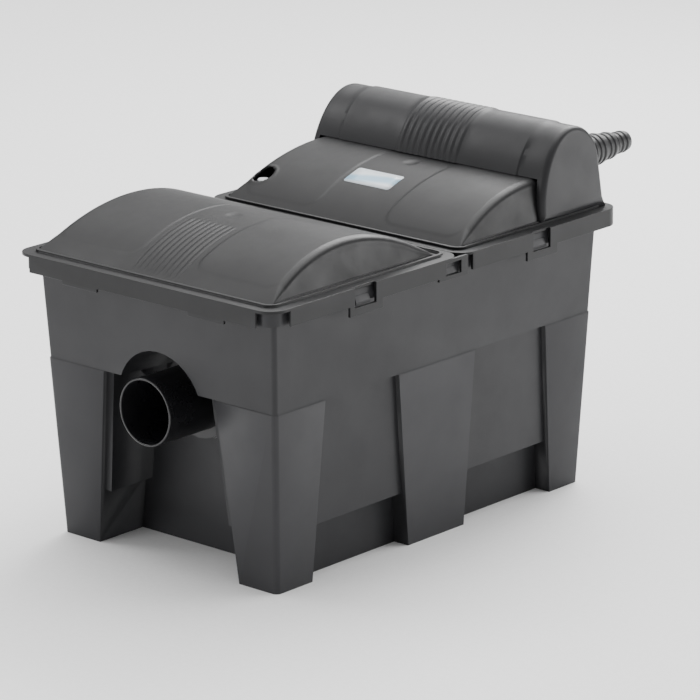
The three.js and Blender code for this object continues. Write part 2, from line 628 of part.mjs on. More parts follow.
// ---------------------------------------------------------------- ultraviolet clarifier
function makeClarifier() {
  const axis = [0, UV.y, UV.z];
  const { radius, start, end } = UV;
  const barrel = turned([
    [radius - 4, start], [radius, start], [radius, end], [0, end], [0, end - 4], [radius - 4, end - 4],
    [radius - 4, start],
  ], 'x', axis, 24);
  const inlet = turned(rod(16, UV.y + 20, 268), 'y', [HOSE.x, 0, HOSE.z], 24);
  const inletCollar = turned(ring(14, 22, 258, 262), 'y', [HOSE.x, 0, HOSE.z], 24);
  const inletBore = turned(rod(12.5, UV.y + 5, 270), 'y', [HOSE.x, 0, HOSE.z], 24);
  const spout = block(-88, -58, UV.y - 15, UV.y + 15, 318, UV.z - 20);
  const spoutBore = block(-85, -61, UV.y - 12, UV.y + 12, 317, UV.z);
  const feet = [-20, 90].map((x) => block(x - 6, x + 6, UV.y - 24, UV.y + 24, 320.3, UV.z - 20));
  const inside = turned(rod(radius - 4, start - 1, end - 4), 'x', axis, 24);
  const housing = join(barrel, inlet, inletCollar, spout, ...feet);
  addPiece('uv_housing', cut(housing, inside, inletBore, spoutBore), BLACK_PLASTIC);

  const headEnd = start - 42;
  const head = turned([
    [0, headEnd], [radius - 6, headEnd], [radius - 1, headEnd + 5], [radius - 1, start - 9],
    [radius + 2.5, start - 9], [radius + 2.5, start - 4], [radius - 5, start - 4], [radius - 5, start + 10],
    [20, start + 10], [20, start - 14], [0, start - 14],
  ], 'x', axis, 24);
  const ribs = [];
  for (let i = 0; i < 12; i += 1) {
    const rib = new THREE.BoxGeometry(24, 3, 3);
    rib.translate(start - 24, 0, radius - 1);
    rib.rotateX((i * Math.PI) / 6);
    rib.translate(0, UV.y, UV.z);
    ribs.push(toSolid(rib));
  }
  addPiece('uv_head', join(head, ...ribs), BLACK_PLASTIC);
  addPiece('sleeve_seal', turned(ring(14.2, 19.7, start - 3, start + 2), 'x', axis, 24), SEAL_RUBBER);
  addPiece('quartz_sleeve', turned([
    [12, start - 10], [14, start - 10], [14, end - 22], [9, end - 14], [0, end - 12], [0, end - 14],
    [8, end - 16], [12, end - 23], [12, start - 10],
  ], 'x', axis, 24), QUARTZ);
  addPiece('lamp_socket', turned(rod(11, start - 13.6, start + 4), 'x', axis, 24), WHITE_PLASTIC);
  const tubes = [-5, 5].map((dy) => turned(
    rod(4, start + 4.3, end - 42), 'x', [0, UV.y + dy, UV.z], 12));
  const bend = block(end - 50, end - 44, UV.y - 5, UV.y + 5, UV.z - 3, UV.z + 3);
  addPiece('uv_lamp', join(...tubes, bend), LAMP_GLASS);
  addPiece('cable_gland', turned([
    [0, headEnd - 13], [3.5, headEnd - 13], [6, headEnd - 10], [8, headEnd - 8], [8, headEnd - GAP],
    [0, headEnd - GAP],
  ], 'x', [0, UV.y, UV.z], 12), BLACK_PLASTIC);

  const bridgeTop = 320;
  addPiece('uv_bridge', cut(
    join(
      block(-163, 163, 188, 262, bridgeTop - 3, bridgeTop),
      block(-163, -157, 188, 262, BODY_HEIGHT + GAP, bridgeTop),
      block(157, 163, 188, 262, BODY_HEIGHT + GAP, bridgeTop)),
    block(-92, -54, UV.y - 19, UV.y + 19, 310, 330)), GREY_GRID);
  for (const [label, x] of [['left', -20], ['right', 90]]) {
    const strap = turned(ring(radius + GAP, radius + 2.4, x - 5, x + 5), 'x', axis, 24);
    const lower = block(x - 8, x + 8, UV.y - 50, UV.y + 50, 300, UV.z - 4);
    const tails = [-1, 1].map((way) => {
      const tailY = UV.y + way * (radius + 1.3);
      return block(x - 5, x + 5, tailY - 1, tailY + 1, bridgeTop + GAP, UV.z - 3.5);
    });
    addPiece(`uv_strap_${label}`, join(cut(strap, lower), ...tails), STEEL);
  }
}

function makeHoseConnection() {
  const centre = [HOSE.x, 0, HOSE.z];
  addPiece('hose_seal', turned(ring(12.6, 15.8, 268.3, 270), 'y', centre, 24), SEAL_RUBBER);
  const nut = turned([
    [16.3, 263], [21, 263], [21, 279], [17, 281.5], [15.3, 281.5], [15.3, 275.5], [16.3, 275.5],
    [16.3, 263],
  ], 'y', centre, 24);
  addPiece('union_nut', nut, BLACK_PLASTIC);
  const steps = [[18.5, 284], [16, 305], [12.8, 330]];
  const profile = [[10, 270.3], [15.8, 270.3], [15.8, 275], [14.8, 275], [14.8, 282]];
  for (const [radius, y] of steps) {
    const length = 23;
    const barbs = 2;
    for (let i = 0; i < barbs; i += 1) {
      const y0 = y + (i * length) / barbs;
      profile.push([radius, y0], [radius - 1.4, y0 + length / barbs - 0.6]);
    }
  }
  profile.push([11.4, 354], [10, 355], [10, 270.3]);
  addPiece('hose_tail', turned(profile, 'y', centre, 24), BLACK_PLASTIC);
}

// ---------------------------------------------------------------- lid fittings
function makeIndicator() {
  const centre = [INDICATOR.x, INDICATOR.y, 0];
  addPiece('indicator_guide', turned([
    [9.4, 300], [12, 300], [12, 335], [7.6, 335], [7.6, 332.5], [9.4, 332.5], [9.4, 300],
  ], 'z', centre, 24), BLACK_PLASTIC);
  addPiece('indicator_float', turned([
    [0, 296], [8.8, 296], [8.8, 319], [7, 321], [7, 337.5], [6, 338.5], [0, 338.5],
  ], 'z', centre, 24), WHITE_PLASTIC);
}

function makeLidSeal(name, y0, y1) {
  const inset = 8.5;
  addPiece(name, roundedFrame(
    LID_HALF_WIDTH - inset, y0 + inset, y1 - inset, LID_CORNER - inset, 4,
    BODY_HEIGHT + 0.2, FLANGE_TOP - FLANGE_THICKNESS - 0.2), SEAL_RUBBER);
}

// ---------------------------------------------------------------- assembly
addPiece('tub', makeTub(), CHARCOAL);
addPiece('outlet_pipe', makeOutletPipe(), BLACK_PIPE);
addPiece('outlet_gasket', turned(
  ring(OUTLET.radius + GAP, OUTLET.radius + 9, ALCOVE_BACK_Y + WALL + GAP, ALCOVE_BACK_Y + WALL + 1.7),
  'y', [0, 0, OUTLET.z], 28), SEAL_RUBBER);
addPiece('outlet_nut', makeOutletNut(), BLACK_PLASTIC);
addPiece('outlet_strainer', makeOutletStrainer(), GREY_GRID);
makeDrain();
addPiece('foam_grid', grid(-149, 149, -176, 1, GRID_Z, GRID_Z + 4, 6, 4), GREY_GRID);
makeFoamTower(1, 'right');
makeFoamTower(-1, 'left');
addPiece('separator_wall', makeSeparator(), GREY_GRID);
addPiece('media_tray', makeMediaTray(), GREY_GRID);
makeClarifier();
makeHoseConnection();
addPiece('front_lid', makeFrontLid(), LID_PLASTIC);
makeLidSeal('front_lid_seal', -LID_HALF_LENGTH, SEAM_Y + 4);
addPiece('rear_lid', makeRearLid(), LID_PLASTIC);
addPiece('uv_hood', makeHood(), HOOD_PLASTIC);
makeIndicator();

export default group;
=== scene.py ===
# %% [markdown]
# # A box-shaped pond filter
# The filter is a tapered plastic tub on legs with two domed lids and an arched hood.
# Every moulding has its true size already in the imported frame. Blender adds what a
# mould maker would add last: rounded corners, ribs, raised pads, grain and wear.

# %% Load the frame
import bpy
import bmesh
import math
from mathutils import Matrix, Vector, noise as field


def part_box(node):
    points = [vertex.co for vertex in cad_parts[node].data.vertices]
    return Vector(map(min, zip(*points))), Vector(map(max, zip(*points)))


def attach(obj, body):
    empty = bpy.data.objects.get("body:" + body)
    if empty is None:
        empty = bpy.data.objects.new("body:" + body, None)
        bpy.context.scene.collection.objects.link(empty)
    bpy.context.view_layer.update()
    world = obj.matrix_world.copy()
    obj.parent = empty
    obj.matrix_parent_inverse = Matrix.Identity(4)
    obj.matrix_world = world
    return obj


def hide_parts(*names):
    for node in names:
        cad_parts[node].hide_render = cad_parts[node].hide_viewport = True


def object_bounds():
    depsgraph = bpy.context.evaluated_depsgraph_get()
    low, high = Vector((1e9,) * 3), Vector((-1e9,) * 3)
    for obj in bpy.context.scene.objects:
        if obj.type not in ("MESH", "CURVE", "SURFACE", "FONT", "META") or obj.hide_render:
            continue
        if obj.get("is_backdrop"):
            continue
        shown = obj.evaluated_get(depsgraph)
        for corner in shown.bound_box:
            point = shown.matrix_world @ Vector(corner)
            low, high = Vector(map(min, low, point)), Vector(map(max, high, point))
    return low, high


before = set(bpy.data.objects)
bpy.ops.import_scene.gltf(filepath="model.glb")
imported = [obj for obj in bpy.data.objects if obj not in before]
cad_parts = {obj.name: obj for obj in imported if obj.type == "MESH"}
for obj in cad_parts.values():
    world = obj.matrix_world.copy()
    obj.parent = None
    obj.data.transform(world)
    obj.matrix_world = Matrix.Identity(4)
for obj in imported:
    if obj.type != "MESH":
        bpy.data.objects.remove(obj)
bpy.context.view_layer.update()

# %% [markdown]
# ## Sizes that several pieces share
# A lid is a flat flange with a dome on it. The flange's height is the one number that
# domes, hood and beads all start from. The domes are arcs of large circles, so each is
# kept as its start, its crest and its top, and the circle follows from those.

# %% Shared sizes
MM = 0.001
FLANGE_TOP = 320.4 * MM
BEAD_TOP = 323.4 * MM
DOME_FOOT = 171.7 * MM
DOME_HEAD = 160.2 * MM
EDGE_ROUND = 9 * MM


def dome_arc(start, crest, top):
    """The circle through the dome's foot at start and its crest, as a dictionary."""
    half, rise = crest - start, top - FLANGE_TOP
    radius = (half * half + rise * rise) / (2 * rise)
    return {"start": start, "crest": crest, "top": top, "radius": radius}


FRONT_DOME = dome_arc(-267.2 * MM, -138 * MM, 363.2 * MM)
REAR_DOME = dome_arc(28.8 * MM, 168 * MM, 366.9 * MM)
FRONT_DOME_END = -8.8 * MM
REAR_DOME_END = 186 * MM
HOOD = {
    "crest_y": 228 * MM, "top": 419 * MM, "front": 164.2 * MM, "rear": 276.8 * MM,
    "shoulder_y": 272 * MM, "shoulder_z": 374 * MM, "foot": 175.1 * MM, "head": 167.8 * MM,
}
print("dome radii", FRONT_DOME["radius"], REAR_DOME["radius"])

# %% [markdown]
# ## The camera
# The view is from the front right corner and a little above, through a long lens, so
# that the box keeps nearly parallel edges. Azimuth, height angle, roll and distance
# place the camera on a sphere round a point inside the tub.

# %% Camera
AZIMUTH, ELEVATION, ROLL = math.radians(42.0), math.radians(16.58), math.radians(-0.46)
DISTANCE, LENS = 4.727, 218.96
AIM = Vector((0, 0.04303, 0.17147))

towards = Vector((
    math.sin(AZIMUTH) * math.cos(ELEVATION),
    -math.cos(AZIMUTH) * math.cos(ELEVATION),
    math.sin(ELEVATION),
))
sideways = (-towards).cross(Vector((0, 0, 1))).normalized()
upwards = sideways.cross(-towards)
right = sideways * math.cos(ROLL) + upwards * math.sin(ROLL)
up = upwards * math.cos(ROLL) - sideways * math.sin(ROLL)
camera_data = bpy.data.cameras.new("camera")
camera_data.lens = LENS
camera_data.sensor_width = 36
camera_data.clip_end = 50
camera = bpy.data.objects.new("camera", camera_data)
camera.matrix_world = Matrix((
    (right.x, up.x, towards.x, 0), (right.y, up.y, towards.y, 0),
    (right.z, up.z, towards.z, 0), (0, 0, 0, 1),
))
camera.location = AIM + towards * DISTANCE
bpy.context.scene.collection.objects.link(camera)
bpy.context.scene.camera = camera
print("camera at", camera.location)

# %% [markdown]
# ## Finishes
# Moulded polypropylene is not one flat grey. Its colour drifts a little where the melt
# flowed, a fine spark-eroded grain breaks up the shine, handling leaves soft smears, and
# corners are rubbed paler. Each of these is one small group of nodes: two noises for
# colour, one fine noise for bump, one for roughness, and the mesh's pointiness for wear.
# Everything reads Object coordinates, so a pattern stays on its piece when that moves.

# %% Node helpers
def new_finish(name):
    """An empty node material: its tree, its shader and the piece's own coordinates."""
    finish = bpy.data.materials.new(name)
    finish.use_nodes = True
    tree = finish.node_tree
    shader = tree.nodes["Principled BSDF"]
    place = tree.nodes.new("ShaderNodeTexCoord").outputs["Object"]
    return finish, tree, shader, place


def noise(tree, place, scale, detail=3.0, roughness=0.55, stretch=(1, 1, 1)):
    """A noise value on the piece; stretch squeezes it along an axis."""
    mapping = tree.nodes.new("ShaderNodeMapping")
    mapping.inputs["Scale"].default_value = stretch
    tree.links.new(place, mapping.inputs["Vector"])
    node = tree.nodes.new("ShaderNodeTexNoise")
    node.inputs["Scale"].default_value = scale
    node.inputs["Detail"].default_value = detail
    node.inputs["Roughness"].default_value = roughness
    tree.links.new(mapping.outputs["Vector"], node.inputs["Vector"])
    return node.outputs["Fac"]


def remap(tree, value, low, high, to_low, to_high):
    """Stretches the part of a value between low and high to a new range."""
    node = tree.nodes.new("ShaderNodeMapRange")
    for socket, number in zip(("From Min", "From Max", "To Min", "To Max"),
                              (low, high, to_low, to_high)):
        node.inputs[socket].default_value = number
    tree.links.new(value, node.inputs["Value"])
    return node.outputs["Result"]


def mix(tree, factor, first, second):
    """Mixes two colours; either may be a plain colour or another node's output."""
    node = tree.nodes.new("ShaderNodeMix")
    node.data_type = "RGBA"
    tree.links.new(factor, node.inputs["Factor"])
    for socket, colour in (("A", first), ("B", second)):
        target = [s for s in node.inputs if s.name == socket and s.type == "RGBA"][0]
        if isinstance(colour, tuple):
            target.default_value = (*colour, 1)
        else:
            tree.links.new(colour, target)
    return [s for s in node.outputs if s.type == "RGBA"][0]


def bump(tree, shader, layers):
    """Stacks bump layers of (height, strength, distance) on the shader's normal."""
    below = None
    for height, strength, distance in layers:
        node = tree.nodes.new("ShaderNodeBump")
        node.inputs["Strength"].default_value = strength
        node.inputs["Distance"].default_value = distance
        tree.links.new(height, node.inputs["Height"])
        if below:
            tree.links.new(below, node.inputs["Normal"])
        below = node.outputs["Normal"]
    tree.links.new(below, shader.inputs["Normal"])


def shade(colour, factor):
    """A colour made lighter or darker."""
    return tuple(channel * factor for channel in colour)


# %% Moulded plastic
def moulded(name, colour, roughness, grain=0.22, drift=0.12, wear=1.9, specular=0.5):
    """Grained moulded plastic with drifting colour, smears and paler worn corners."""
    finish, tree, shader, place = new_finish(name)
    clouds = remap(tree, noise(tree, place, 7), 0.35, 0.65, 0, 1)
    base = mix(tree, clouds, shade(colour, 1 - drift), shade(colour, 1 + drift))
    streaks = remap(tree, noise(tree, place, 38, 4, 0.6, (1, 1, 0.12)), 0.5, 0.78, 0, 0.3)
    base = mix(tree, streaks, base, shade(colour, 1.25))
    specks = remap(tree, noise(tree, place, 420, 2), 0.66, 0.8, 0, 0.35)
    base = mix(tree, specks, base, shade(colour, 1.7))
    edge = tree.nodes.new("ShaderNodeNewGeometry").outputs["Pointiness"]
    rubbed = remap(tree, edge, 0.515, 0.6, 0, 0.55)
    base = mix(tree, rubbed, base, shade(colour, wear))
    tree.links.new(base, shader.inputs["Base Color"])
    smears = noise(tree, place, 22, 5, 0.65)
    tree.links.new(
        remap(tree, smears, 0.3, 0.7, roughness - 0.06, roughness + 0.08),
        shader.inputs["Roughness"])
    shader.inputs["Specular IOR Level"].default_value = specular
    bump(tree, shader, [
        (noise(tree, place, 9, 2), 0.25, 0.0012),
        (noise(tree, place, 1500, 2, 0.6), grain, 0.00012),
    ])
    return finish


CHARCOAL = (0.0175, 0.0175, 0.0192)
TUB_PLASTIC = moulded("tub plastic", CHARCOAL, 0.42, specular=0.3)
# The lids are the tub's charcoal plastic, made darker here as painted shade that holds down the
# light their tops get from above.
SHADED_LID_PLASTIC = moulded("lid plastic with painted shade", (0.0085, 0.0085, 0.0092), 0.4, 0.3, specular=0.28)
HOOD_PLASTIC = moulded("hood plastic", (0.0165, 0.0165, 0.018), 0.4, 0.3, specular=0.34)
PIPE_PLASTIC = moulded("pipe plastic", (0.006, 0.006, 0.007), 0.28, 0.08, 0.1, 2.4, 0.55)
BLACK_PLASTIC = moulded("black plastic", (0.011, 0.011, 0.012), 0.4)
GRID_PLASTIC = moulded("grid plastic", (0.14, 0.145, 0.15), 0.55, 0.2, 0.08, 1.35)
RED_PLASTIC = moulded("red plastic", (0.45, 0.03, 0.02), 0.35, 0.1, 0.08, 1.2)
WHITE_PLASTIC = moulded("white plastic", (0.74, 0.75, 0.76), 0.35, 0.08, 0.05, 1.1)
print("plastics", [m.name for m in bpy.data.materials])

# %% [markdown]
# ## Rubber, steel, glass and foam
# Rubber is rough and slightly dusty. The clamp straps are brushed along their length, so
# their noise is squeezed one way. Quartz is clear with a thin sheen. The filter foam is
# reticulated: open pores of 2 to 3 mm, which a cell texture gives as pits in the bump and
# as painted shade in the colour, darkening the pores.

# %% Rubber, steel and glass
def rubber(name, colour):
    """Matt rubber with a dusting that settles in patches."""
    finish, tree, shader, place = new_finish(name)
    dust = remap(tree, noise(tree, place, 45, 4), 0.5, 0.75, 0, 0.5)
    tree.links.new(mix(tree, dust, colour, shade(colour, 3)), shader.inputs["Base Color"])
    tree.links.new(remap(tree, dust, 0, 0.5, 0.62, 0.85), shader.inputs["Roughness"])
    bump(tree, shader, [(noise(tree, place, 900, 2), 0.3, 0.0001)])
    return finish


def brushed(name, colour):
    """Stainless strip, brushed round the barrel."""
    finish, tree, shader, place = new_finish(name)
    lines = noise(tree, place, 60, 3, 0.7, (30, 1, 1))
    tree.links.new(mix(tree, lines, shade(colour, 0.8), shade(colour, 1.1)),
                   shader.inputs["Base Color"])
    tree.links.new(remap(tree, lines, 0.3, 0.7, 0.2, 0.4), shader.inputs["Roughness"])
    shader.inputs["Metallic"].default_value = 1.0
    bump(tree, shader, [(lines, 0.12, 0.0001)])
    return finish


def clear_glass(name, colour, roughness):
    """Clear tube glass with faint drawing lines along it."""
    finish, tree, shader, place = new_finish(name)
    shader.inputs["Base Color"].default_value = (*colour, 1)
    shader.inputs["Transmission Weight"].default_value = 0.9
    shader.inputs["IOR"].default_value = 1.46
    lines = noise(tree, place, 90, 2, 0.5, (0.05, 1, 1))
    tree.links.new(remap(tree, lines, 0.3, 0.7, roughness, roughness + 0.06),
                   shader.inputs["Roughness"])
    bump(tree, shader, [(lines, 0.1, 0.0002)])
    return finish


SEAL_RUBBER = rubber("seal rubber", (0.012, 0.012, 0.012))
STRAP_STEEL = brushed("strap steel", (0.58, 0.59, 0.6))
QUARTZ = clear_glass("quartz", (0.93, 0.97, 0.99), 0.03)
LAMP_GLASS = clear_glass("lamp glass", (0.96, 0.97, 1.0), 0.08)


# %% Foam
def open_foam(name, colour):
    """Reticulated foam: cells give painted shade in the pores and leave the walls between them
    lighter.
    """
    finish, tree, shader, place = new_finish(name)
    cells = tree.nodes.new("ShaderNodeTexVoronoi")
    cells.feature = "DISTANCE_TO_EDGE"
    cells.inputs["Scale"].default_value = 380
    tree.links.new(place, cells.inputs["Vector"])
    walls = remap(tree, cells.outputs["Distance"], 0.02, 0.2, 1, 0)
    clouds = noise(tree, place, 30, 4)
    tinted = mix(tree, clouds, shade(colour, 0.8), shade(colour, 1.2))
    # Painted shade: the pores drop to 0.18 of the foam's colour, while the walls keep the tinted
    # colour.
    tree.links.new(mix(tree, walls, shade(colour, 0.18), tinted), shader.inputs["Base Color"])
    shader.inputs["Roughness"].default_value = 0.95
    shader.inputs["Sheen Weight"].default_value = 0.15
    bump(tree, shader, [(walls, 0.8, 0.0012), (clouds, 0.3, 0.002)])
    return finish


BLUE_FOAM = open_foam("blue foam", (0.04, 0.17, 0.45))
RED_FOAM = open_foam("red foam", (0.5, 0.06, 0.04))
print("all finishes", len(bpy.data.materials))

# %% [markdown]
# ## Turning a shape into a piece
# A finished shape needs the same five things each time: a mesh, a finish, smooth
# shading with sharp creases kept, the body that it rides on, and the CAD nodes that it
# stands for. One helper does this, so that every later cell is only about shape.

# %% Piece helper
def piece(name, shape, finish, body, replaced=(), crease=38):
    """Makes an object of a bmesh, frees the bmesh and puts the object on its body."""
    bmesh.ops.recalc_face_normals(shape, faces=shape.faces)
    mesh = bpy.data.meshes.new(name)
    shape.to_mesh(mesh)
    shape.free()
    mesh.shade_smooth()
    mesh.set_sharp_from_angle(angle=math.radians(crease))
    mesh.materials.append(finish)
    made = bpy.data.objects.new(name, mesh)
    bpy.context.scene.collection.objects.link(made)
    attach(made, body)
    if replaced:
        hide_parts(*replaced)
    print(f"{name}: {len(mesh.polygons)} faces")
    return made


def bake(made):
    """Fixes a piece's modifiers into its mesh."""
    graph = bpy.context.evaluated_depsgraph_get()
    mesh = bpy.data.meshes.new_from_object(made.evaluated_get(graph))
    made.modifiers.clear()
    made.data = mesh
    return made


def soften(made, width, segments=3, angle=50):
    """Rounds a piece's long sharp edges and keeps its large faces flat to the eye."""
    shape = bmesh.new()
    shape.from_mesh(made.data)
    weight = shape.edges.layers.float.new("bevel_weight_edge")
    marked = 0
    for edge in shape.edges:
        bent = edge.calc_face_angle(0) > math.radians(angle)
        sharp = edge.is_manifold and edge.is_convex and bent
        roomy = all(e.calc_length() > 2.5 * width for v in edge.verts for e in v.link_edges)
        if sharp and roomy:
            edge[weight] = 1.0
            marked += 1
    shape.to_mesh(made.data)
    shape.free()
    bevel = made.modifiers.new("rounded edges", "BEVEL")
    bevel.width = width
    bevel.segments = segments
    bevel.limit_method = "WEIGHT"
    bevel.use_clamp_overlap = True
    even = made.modifiers.new("flat faces", "WEIGHTED_NORMAL")
    even.keep_sharp = True
    even.weight = 100
    print(made.name, "rounded edges", marked)
    return bake(made)


def copy_of(node):
    """A merged copy of a CAD node's loose triangles, with flat faces rejoined."""
    shape = bmesh.new()
    shape.from_mesh(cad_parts[node].data)
    bmesh.ops.remove_doubles(shape, verts=shape.verts, dist=0.01 * MM)
    bmesh.ops.dissolve_limit(
        shape, angle_limit=math.radians(0.4), use_dissolve_boundaries=False,
        verts=shape.verts, edges=shape.edges, delimit=set())
    return shape


# %% [markdown]
# ## The tub
# The tub carries everything and its shape is exact in the frame already. What a sharp
# model lacks is the small radius that every moulding has, because a cutter can't leave a
# perfect inside corner in the mould. So the copy is joined into clean faces and each
# sharp edge gets a radius of about a millimetre, which catches a thin line of light.

# %% Tub
tub = piece("tub_moulding", copy_of("tub"), TUB_PLASTIC, "tub", ["tub"])
soften(tub, 0.9 * MM)


# %% [markdown]
# ## Stations
# A domed lid is a flat grid that has been bent. Where nothing happens the grid may be
# coarse, and over ribs and rounded edges it has to be fine. A list of stations says
# where each column and row goes, so the same grid operator serves every dome.

# %% Stations
def stations(*spans):
    """Positions from spans of (start, end, step), without repeating shared ends."""
    places = []
    for start, end, step in spans:
        count = max(1, round(abs(end - start) / step))
        places += [start + (end - start) * i / count for i in range(count)]
    return [*places, spans[-1][1]]


def mirrored(left, middle):
    """Left-hand stations, the middle ones and the left-hand ones again, mirrored."""
    return left[:-1] + middle + [-c for c in reversed(left[:-1])]


def bent_grid(columns, rows, bend):
    """A grid whose vertices are carried to bend(column value, row value)."""
    shape = bmesh.new()
    bmesh.ops.create_grid(
        shape, x_segments=len(columns) - 1, y_segments=len(rows) - 1, size=1)
    for vertex in shape.verts:
        i = round((vertex.co.x + 1) / 2 * (len(columns) - 1))
        j = round((vertex.co.y + 1) / 2 * (len(rows) - 1))
        vertex.co = bend(columns[i], rows[j])
    return shape


def smooth_step(value):
    """0 below 0, 1 above 1 and an S-shaped ramp between."""
    t = min(1.0, max(0.0, value))
    return t * t * (3 - 2 * t)


def pad_height(x, y, low, high, corner, ramp):
    """1 on a rounded rectangle, 0 outside it, with a soft edge ramp wide."""
    cx, cy = (low[0] + high[0]) / 2, (low[1] + high[1]) / 2
    dx = abs(x - cx) - (high[0] - low[0]) / 2 + corner
    dy = abs(y - cy) - (high[1] - low[1]) / 2 + corner
    outside = math.hypot(max(dx, 0), max(dy, 0)) + min(max(dx, dy), 0) - corner
    return smooth_step(0.5 - outside / ramp)


def ribs(x, half_width, pitch):
    """Round-topped ribs side by side, as a height from 0 to 1."""
    if abs(x) >= half_width:
        return 0.0
    return abs(math.sin(math.pi * (x + half_width) / pitch))


# %% [markdown]
# ## The domes
# Each lid's dome is an arch with leaning end walls and a generous radius where the two
# meet. The column value runs from one foot, up the end wall, round the edge, across the
# top and down again. The relief is added to the height: a strip of ribs for grip, two
# raised pads that stiffen the sheet, and the small dimple where the melt went in.

# %% Dome surface
def arch_height(dome, y):
    """The height of the arch at y."""
    offset = min(abs(y - dome["crest"]), dome["radius"])
    return dome["top"] - dome["radius"] + math.sqrt(dome["radius"] ** 2 - offset ** 2)


def end_wall_at(z, top):
    """How far out the leaning end wall stands at height z."""
    lean = (DOME_FOOT - DOME_HEAD) / (top - FLANGE_TOP)
    return DOME_FOOT - lean * max(0.0, z - FLANGE_TOP)


def dome_point(dome, relief, across, y):
    """A point of the dome; across is in metres along the section, 0 in the middle."""
    crown = arch_height(dome, y)
    rounding = min(EDGE_ROUND, max(0.0005, (crown - FLANGE_TOP) * 0.55))
    edge = end_wall_at(crown, dome["top"]) - rounding
    side = 1 if across >= 0 else -1
    reach = abs(across) / DOME_SPAN
    if reach <= 1:
        x = side * edge * reach
        return Vector((x, y, crown + relief(x, y)))
    turn = min(1.0, reach - 1) * math.pi / 2
    if reach <= 2:
        return Vector((
            side * (edge + rounding * math.sin(turn)), y,
            crown - rounding * (1 - math.cos(turn))))
    z = (crown - rounding) + (FLANGE_TOP - 0.6 * MM - (crown - rounding)) * (reach - 2)
    wall = edge + rounding + (
        end_wall_at(z, dome["top"]) - end_wall_at(crown - rounding, dome["top"]))
    return Vector((side * wall, y, z))


DOME_SPAN = 1.0
SIDE_COLUMNS = stations((-3, -2, 0.12), (-2, -1, 0.13), (-1, -0.3, 0.0105))
COLUMNS = mirrored(SIDE_COLUMNS, stations((-0.3, 0.3, 0.0062)))


PAD_RISE = 0.45 * MM


def front_relief(x, y):
    """Ribs, pads and dimple of the front lid."""
    strip = smooth_step((-169 * MM - y) / (5 * MM)) * smooth_step((y + 264 * MM) / (4 * MM))
    height = 0.62 * MM * (ribs(x, 34 * MM, 7.55 * MM) - 0.5) * strip * (abs(x) < 34 * MM)
    for low, high in (((-160, -248), (-42, -46)), ((42, -248), (160, -46))):
        low, high = [v * MM for v in low], [v * MM for v in high]
        height += PAD_RISE * pad_height(x, y, low, high, 17 * MM, 3.2 * MM)
    dip = math.hypot(x + 1 * MM, y + 139 * MM) / (8.5 * MM)
    return height - 0.7 * MM * smooth_step(1.25 - dip)


front_rows = stations((-267.2 * MM, -240 * MM, 1.7 * MM), (-240 * MM, -160 * MM, 2.6 * MM),
                      (-160 * MM, -120 * MM, 1.7 * MM), (-120 * MM, FRONT_DOME_END, 2.8 * MM))
front_skin = bent_grid(
    COLUMNS, front_rows, lambda a, y: dome_point(FRONT_DOME, front_relief, a, y))
front_dome = piece("front_lid_dome", front_skin, SHADED_LID_PLASTIC, "front_lid")
print("front dome columns", len(COLUMNS), "rows", len(front_rows))


# %% [markdown]
# ## Lid rims
# Below its dome, a lid is a flange with a bead, a skirt and latch tongues. Those are
# exact in the frame, so the copy is cut off just above the bead, where the new dome
# takes over, and the cut is closed with flat faces.

# %% Lid rims
def below(node, height):
    """A merged copy of a CAD node without what stands above height, closed again."""
    shape = copy_of(node)
    cut = bmesh.ops.bisect_plane(
        shape, geom=[*shape.verts, *shape.edges, *shape.faces], dist=0.001 * MM,
        plane_co=(0, 0, height), plane_no=(0, 0, 1), clear_outer=True)
    rim = [e for e in cut["geom_cut"] if isinstance(e, bmesh.types.BMEdge) and e.is_valid]
    bmesh.ops.triangle_fill(shape, use_beauty=True, edges=rim)
    return shape


front_rim = piece("front_lid_rim", below("front_lid", BEAD_TOP), SHADED_LID_PLASTIC,
                  "front_lid", ["front_lid"])
soften(front_rim, 0.7 * MM)
rear_rim = piece("rear_lid_rim", below("rear_lid", BEAD_TOP), SHADED_LID_PLASTIC,
                 "rear_lid", ["rear_lid"])
soften(rear_rim, 0.7 * MM)

# %% [markdown]
# ## Walls for the domes
# Until now a dome is a skin without thickness. Solidify gives it the lid's 2.6 mm wall
# on the inside, so that it looks right from below too when the lid is lifted off.

# %% Dome walls
def give_wall(made, thickness):
    """Thickens a skin inwards and fixes the result."""
    wall = made.modifiers.new("wall", "SOLIDIFY")
    wall.thickness = thickness
    wall.offset = -1
    wall.use_even_offset = False
    return bake(made)


give_wall(front_dome, 2.6 * MM)


# %% [markdown]
# ## The rear dome and the level indicator's hole
# The rear dome is the same arch, but it runs on under the hood and has a round hole in
# its left corner, where a float shows when the foams are clogged. The grid's vertices
# near the hole are slid onto its circle and the faces inside it are taken away, which
# leaves a clean round edge without a boolean.

# %% Rear dome
HOLE = Vector(((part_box("indicator_guide")[0].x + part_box("indicator_guide")[1].x) / 2,
               (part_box("indicator_guide")[0].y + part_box("indicator_guide")[1].y) / 2))
HOLE_RADIUS = (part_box("indicator_guide")[1].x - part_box("indicator_guide")[0].x) / 2 + 0.5 * MM


def rear_relief(x, y):
    """Pads, dimple and the raised ring round the indicator's hole."""
    height = 0.0
    for low, high in (((-158, 39), (-50, 230)), ((50, 39), (158, 230))):
        low, high = [v * MM for v in low], [v * MM for v in high]
        height += PAD_RISE * pad_height(x, y, low, high, 17 * MM, 3.2 * MM)
    dip = math.hypot(x, y - 148 * MM) / (8.5 * MM)
    ring = abs(math.hypot(x - HOLE.x, y - HOLE.y) - HOLE_RADIUS - 2 * MM) / (3 * MM)
    return height - 1.1 * MM * smooth_step(1.25 - dip) + 0.7 * MM * smooth_step(1 - ring)


